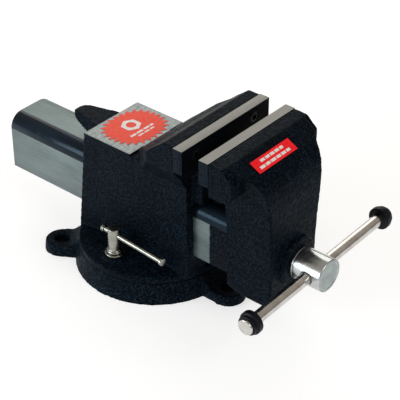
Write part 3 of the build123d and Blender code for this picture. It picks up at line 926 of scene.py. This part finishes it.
def make_lock_bar(side, axis, through):
    """Thin rod with a grooved head at the back and a plain one ahead."""
    low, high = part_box(side + "_lock_bar")
    spare = LOCK_HEAD_R * abs(axis.y)
    back = (low.x + spare - through.x) / axis.x
    ahead = (high.x - spare - through.x) / axis.x
    lip_r = LOCK_HEAD_R - 0.3 * MM
    profile = [(0, back), (LOCK_HEAD_R, back), (LOCK_HEAD_R, back + 1.5 * MM),
               (LOCK_BAR_R + 0.3 * MM, back + 2 * MM), (lip_r, back + 2.5 * MM), (lip_r, back + LOCK_HEAD),
               (LOCK_BAR_R, back + LOCK_HEAD), (LOCK_BAR_R, ahead - LOCK_HEAD),
               (LOCK_HEAD_R, ahead - LOCK_HEAD + 0.8 * MM), (LOCK_HEAD_R, ahead), (0, ahead)]
    radii = [0, 0.6 * MM, 0.4 * MM, 0, 0.3 * MM, 0.3 * MM, 0, 0.5 * MM, 0.5 * MM, 0.9 * MM, 0]
    mesh = lathe(side + "_lock_bar_rod", rounded(profile, radii), 36)
    mesh.transform(z_to(axis, through))
    bar = add_piece(side + "_lock_bar_rod", mesh, side + "_lock_bar", "zinc", ZINC)
    smooth_by_angle(bar.data)
    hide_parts(side + "_lock_bar")


def make_lock(side):
    """Nut and sliding bar of the near or the far lock."""
    axis = Vector(JOINTS[side + "_lock_bar_slide"]["axis"]).normalized()
    nut_low, nut_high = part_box(side + "_lock_nut")
    bar_low, bar_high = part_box(side + "_lock_bar")
    through = (nut_low + nut_high) / 2
    through.z = (bar_low.z + bar_high.z) / 2
    make_lock_nut(side, axis, through)
    make_lock_bar(side, axis, through)


def make_lock_washers():
    """Round washers under the two lock nuts."""
    low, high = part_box("lock_washers")
    outer = (high.x - low.x) / 2
    centre_x = (low.x + high.x) / 2
    centre_y = high.y - outer
    profile = [(WASHER_BORE_R, low.z), (outer, low.z), (outer, high.z), (WASHER_BORE_R, high.z)]
    radii = [0.3 * MM, 0.5 * MM, 1.1 * MM, 0.3 * MM]
    for name, y in (("near", -centre_y), ("far", centre_y)):
        mesh = lathe(name + "_lock_washer", rounded(profile, radii), 56)
        mesh.transform(Matrix.Translation((centre_x, y, 0)))
        piece = add_piece(name + "_lock_washer", mesh, "fixed_body", "zinc", ZINC)
        smooth_by_angle(piece.data)
        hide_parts("lock_washers")


make_lock("near")
make_lock("far")
make_lock_washers()


# ---- printing on the stickers: plain shapes, no lettering ----
INK = 0.06 * MM
UNDER_INK = 0.02 * MM
NUT_SYMBOL_R = 12.5 * MM
NUT_SYMBOL_HOLE_R = 6.2 * MM


def polygon_outline(x, y, radius, sides):
    """Regular polygon about a centre."""
    angles = [2 * math.pi * k / sides for k in range(sides)]
    return [(x + radius * math.cos(a), y + radius * math.sin(a)) for a in angles]


def bar_outline(x, y, length, thickness):
    """Bar that runs along Y."""
    return [(x - thickness / 2, y - length / 2), (x + thickness / 2, y - length / 2),
            (x + thickness / 2, y + length / 2), (x - thickness / 2, y + length / 2)]


def print_badge():
    """A nut symbol with two rows of short bars on the star-shaped sticker."""
    centre = (BADGE_LOW + BADGE_HIGH) / 2
    nut_x = centre.x - 6 * MM
    hexagon = polygon_outline(nut_x, centre.y, NUT_SYMBOL_R, 6)
    shapes = [(hexagon, [polygon_outline(nut_x, centre.y, NUT_SYMBOL_HOLE_R, 32)])]
    rows = ((11.5, 3.2, ((-15, 9), (-4, 10), (7.5, 9), (16, 5))),
            (17, 2.4, ((-8, 8), (2, 8), (11, 6))))
    for x, thick, bars in rows:
        for y, length in bars:
            bar = bar_outline(centre.x + x * MM, centre.y + y * MM, length * MM, thick * MM)
            shapes.append((bar, []))
    for number, (outline, holes) in enumerate(shapes):
        name = f"badge_print_{number}"
        mesh = prism(name, outline, BADGE_HIGH.z - UNDER_INK, BADGE_HIGH.z + INK, holes)
        add_piece(name, mesh, "fixed_body", "red_label", WHITE_INK)


LABEL_LENGTH = 16 * MM
LABEL_THICK = 0.4 * MM
LABEL_TILTED_THICK = 0.9 * LABEL_THICK


def print_label():
    """Two rows of bars on the rectangular sticker, which slopes down to the front."""
    rise = LABEL_HIGH.z - LABEL_LOW.z
    slope = math.asin((rise - LABEL_TILTED_THICK) / LABEL_LENGTH)
    centre = (LABEL_LOW + LABEL_HIGH) / 2
    place = Matrix.Translation(centre) @ Matrix.Rotation(slope, 4, "Y")
    top = LABEL_THICK / 2
    rows = ((-3.4, 3.4, ((-16, 7), (-7.5, 6.5), (0.5, 6.5), (8.5, 6.5), (16, 5.5))),
            (3.2, 3.4, ((-22.5, 8), (-13.5, 7), (-4.5, 8), (4.5, 7), (13, 7), (21, 6))))
    number = 0
    for x, thick, bars in rows:
        for y, length in bars:
            name = f"label_print_{number}"
            outline = bar_outline(x * MM, y * MM, length * MM, thick * MM)
            mesh = prism(name, outline, top - UNDER_INK, top + INK)
            mesh.transform(place)
            add_piece(name, mesh, "moving_jaw", "red_label", WHITE_INK)
            number += 1


print_badge()
print_label()


# ---- carried-over CAD parts: finishes and softened edges ----
FINISHES = {
    "fixed_plate_screws": OXIDE,
    "moving_plate_screws": OXIDE,
    "lead_nut_screws": OXIDE,
    "pivot_bolt": OXIDE,
    "thrust_washer": TURNED,
    "spring_washers": TURNED,
    "takeup_spring": SPRING,
    "split_pin": ZINC,
    "pivot_washer": ZINC,
    "lock_t_bolts": ZINC,
    "lead_nut": BRONZE,
    "anvil_badge": BADGE_RED,
    "jaw_label": LABEL_RED,
}
SHARP_EDGED = ("takeup_spring", "anvil_badge", "jaw_label")
for node, material in FINISHES.items():
    part = frame["nodes"][node]
    part.data.materials.clear()
    part.data.materials.append(material)
    if node not in SHARP_EDGED:
        weld(part)
        bevel(part, 0.35 * MM, 40)


# ---- floor, light and camera ----
FLOOR_GLOW = 0.62
FLOOR_HALF = 8.0
LUG_HOLES = ("front_lug_hole", "far_rear_lug_hole", "near_rear_lug_hole")
HOLE_SHADE_FROM = 15 * MM
HOLE_SHADE_TO = 19 * MM


def shade_in_lug_holes(shade):
    """Share of shadow on the floor: 1 under each lug hole, where the floor lies in the dark."""
    shadow = 0.0
    for mount in frame["record"]["mounts"]:
        if mount["name"] in LUG_HOLES:
            x, y, _ = mount["pos_m"]
            from_x = shade.math("SUBTRACT", shade.part(0), x)
            from_y = shade.math("SUBTRACT", shade.part(1), y)
            x_squared = shade.math("MULTIPLY", from_x, from_x)
            y_squared = shade.math("MULTIPLY", from_y, from_y)
            distance = shade.math("SQRT", shade.math("ADD", x_squared, y_squared))
            spot = shade.spread(distance, HOLE_SHADE_FROM, HOLE_SHADE_TO, 1.0, 0.0)
            shadow = shade.math("ADD", shadow, spot)
    return shadow


def make_floor():
    """Pale floor with a faint glow, so that it stays bright close to the object."""
    half = FLOOR_HALF
    corners = [(-half, -half, 0), (half, -half, 0), (half, half, 0), (-half, half, 0)]
    floor = bpy.data.objects.new("floor", from_points("floor", corners, [(0, 1, 2, 3)]))
    bpy.context.scene.collection.objects.link(floor)
    shade = Shade("pale_floor", 0.0, 0.9, 0.0)
    lit = shade.math("SUBTRACT", 1.0, shade_in_lug_holes(shade))
    pale = shade.mix(shade.noise(0.4), colour(0.50, 0.50, 0.50), colour(0.54, 0.54, 0.54))
    shade.feed("Base Color", shade.mix(lit, colour(0.03, 0.035, 0.04), pale))
    shade.set("Emission Color", colour(1, 1, 1))
    shade.feed("Emission Strength", shade.math("MULTIPLY", lit, FLOOR_GLOW))
    floor.data.materials.append(shade.material)


def area_light(name, where, target, size, power, tint):
    """Soft rectangular light at a place, aimed at a point."""
    lamp = bpy.data.lights.new(name, "AREA")
    lamp.shape = "RECTANGLE"
    lamp.size, lamp.size_y = size
    lamp.energy = power
    lamp.color = tint
    holder = bpy.data.objects.new(name, lamp)
    bpy.context.scene.collection.objects.link(holder)
    holder.location = where
    holder.visible_camera = False
    holder.rotation_euler = (Vector(target) - Vector(where)).to_track_quat("-Z", "Y").to_euler()


def make_world():
    """Soft surround: bright overhead, dimmer and warmer towards the horizon."""
    world = bpy.data.worlds.new("studio")
    bpy.context.scene.world = world
    world.use_nodes = True
    tree = world.node_tree
    background = next(n for n in tree.nodes if n.type == "BACKGROUND")
    place = tree.nodes.new("ShaderNodeTexCoord")
    split = tree.nodes.new("ShaderNodeSeparateXYZ")
    ramp = tree.nodes.new("ShaderNodeValToRGB")
    tree.links.new(place.outputs["Generated"], split.inputs[0])
    tree.links.new(split.outputs["Z"], ramp.inputs["Fac"])
    tree.links.new(ramp.outputs["Color"], background.inputs["Color"])
    stops = ramp.color_ramp.elements
    stops[0].position = 0.0
    stops[0].color = colour(0.22, 0.20, 0.18)
    stops[1].position = 0.95
    stops[1].color = colour(0.50, 0.46, 0.42)
    stops.new(0.3).color = colour(0.38, 0.335, 0.29)
    stops.new(0.6).color = colour(0.48, 0.42, 0.36)
    background.inputs["Strength"].default_value = 0.9


AZIMUTH = math.radians(40.1)
ELEVATION = math.radians(34.5)
CAMERA_TARGET = Vector((0.1097, -0.0490, 0.1549))
CAMERA_DISTANCE = 1.5143
SENSOR_WIDTH = 36.0
FOCAL_LENGTH = 125.2


def make_camera():
    """Long lens, above the bench and in front of the near corner."""
    lens = bpy.data.cameras.new("camera")
    lens.sensor_width = SENSOR_WIDTH
    lens.lens = FOCAL_LENGTH
    lens.clip_start = 0.05
    camera = bpy.data.objects.new("camera", lens)
    bpy.context.scene.collection.objects.link(camera)
    flat = math.cos(ELEVATION)
    back = Vector((math.sin(AZIMUTH) * flat, -math.cos(AZIMUTH) * flat, math.sin(ELEVATION)))
    camera.location = CAMERA_TARGET + back * CAMERA_DISTANCE
    camera.rotation_mode = "QUATERNION"
    camera.rotation_quaternion = (-back).to_track_quat("-Z", "Y")
    bpy.context.scene.camera = camera


make_floor()
make_world()
area_light("key", (-0.9, -1.5, 0.55), (0.0, 0.0, 0.12), (1.5, 0.7), 24, (0.84, 0.93, 1.0))
area_light("back", (-1.2, 1.4, 1.3), (0.05, 0.0, 0.1), (2.0, 1.6), 16, (1.0, 0.99, 0.97))
area_light("front", (2.0, -0.2, 1.5), (0.1, 0.0, 0.15), (1.2, 1.2), 17, (0.94, 0.98, 1.0))
make_camera()
bpy.context.scene.view_settings.view_transform = "Standard"
